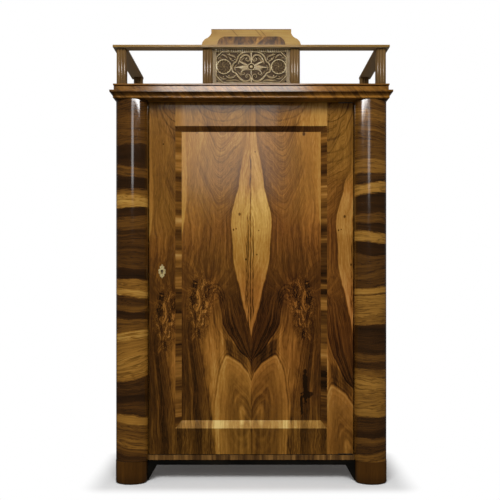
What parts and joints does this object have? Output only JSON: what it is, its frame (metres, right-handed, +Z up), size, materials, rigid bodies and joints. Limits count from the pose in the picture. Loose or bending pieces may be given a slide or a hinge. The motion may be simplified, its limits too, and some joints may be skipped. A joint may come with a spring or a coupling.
{
  "type": "cupboard",
  "caption": "Single-door walnut cupboard with rounded pilasters, moulded cornice, open top gallery with carved panel and crest, and shelves inside",
  "frame": {"origin": "middle of the overall box, on the floor", "axes": "+Z up, -Y is the front with the door, +X to the right seen from the front"},
  "size_m": [1.13, 0.507, 1.826],
  "materials": {
    "walnut_veneer": "walnut veneer, French polished to a high gloss",
    "post_walnut": "solid walnut, reeded and polished",
    "door_veneer": "figured walnut veneer, French polished",
    "panel_veneer": "book-matched walnut veneer, French polished",
    "bevel_veneer": "cross-banded walnut veneer, French polished",
    "carved_walnut": "carved walnut with a stained ground",
    "crest_veneer": "light walnut veneer, French polished",
    "burl_veneer": "dark figured walnut veneer, polished",
    "ebonised_wood": "ebonised, satin",
    "inner_wood": "plain softwood, waxed",
    "aged_brass": "aged brass, lightly tarnished",
    "worn_steel": "dull worn steel"
  },
  "bodies": {
    "carcass": {"left_pilaster": "walnut_veneer", "right_pilaster": "walnut_veneer", "left_foot": "walnut_veneer", "right_foot": "walnut_veneer", "left_side": "walnut_veneer", "right_side": "walnut_veneer", "base_rail": "walnut_veneer", "cornice_front": "walnut_veneer", "cornice_left": "walnut_veneer", "cornice_right": "walnut_veneer", "gallery_base": "walnut_veneer", "gallery_front_rail": "walnut_veneer", "gallery_left_rail": "walnut_veneer", "gallery_right_rail": "walnut_veneer", "gallery_front_left_post": "post_walnut", "gallery_front_right_post": "post_walnut", "gallery_centre_left_post": "post_walnut", "gallery_centre_right_post": "post_walnut", "gallery_rear_left_post": "post_walnut", "gallery_rear_right_post": "post_walnut", "bottom_board": "inner_wood", "top_board": "inner_wood", "head_rail": "inner_wood", "door_stop": "inner_wood", "back_board_1": "inner_wood", "back_board_2": "inner_wood", "back_board_3": "inner_wood", "cornice_back": "inner_wood", "rack_front_left": "inner_wood", "rack_front_right": "inner_wood", "rack_rear_left": "inner_wood", "rack_rear_right": "inner_wood", "shelf_bearers": "inner_wood", "shelf_1": "inner_wood", "shelf_2": "inner_wood", "shelf_3": "inner_wood", "dowels": "inner_wood", "lower_pivot": "worn_steel", "upper_pivot": "worn_steel", "strike_plate": "worn_steel", "frame_screws": "worn_steel", "apron": "ebonised_wood", "carved_panel": "carved_walnut", "crest_board": "crest_veneer", "crest_inlay": "burl_veneer"},
    "door": {"lock_stile": "door_veneer", "hinge_stile": "door_veneer", "door_top_rail": "door_veneer", "door_bottom_rail": "door_veneer", "door_panel": "panel_veneer", "bevel_top": "bevel_veneer", "bevel_bottom": "bevel_veneer", "bevel_left": "bevel_veneer", "bevel_right": "bevel_veneer", "escutcheon": "aged_brass", "lock_case": "worn_steel", "lower_socket": "worn_steel", "upper_socket": "worn_steel", "door_screws": "worn_steel"},
    "bolt": {"lock_bolt": "worn_steel"}
  },
  "joints": [
    {"name": "door_swing", "type": "hinge", "parent": "carcass", "child": "door", "pos_m": [0.398, -0.1665, 0.1095], "axis": [0, 0, 1], "range_deg": [0, 105]},
    {"name": "bolt_slide", "type": "slide", "parent": "door", "child": "bolt", "axis": [-1, 0, 0], "range_m": [0, 0.01]}
  ]
}
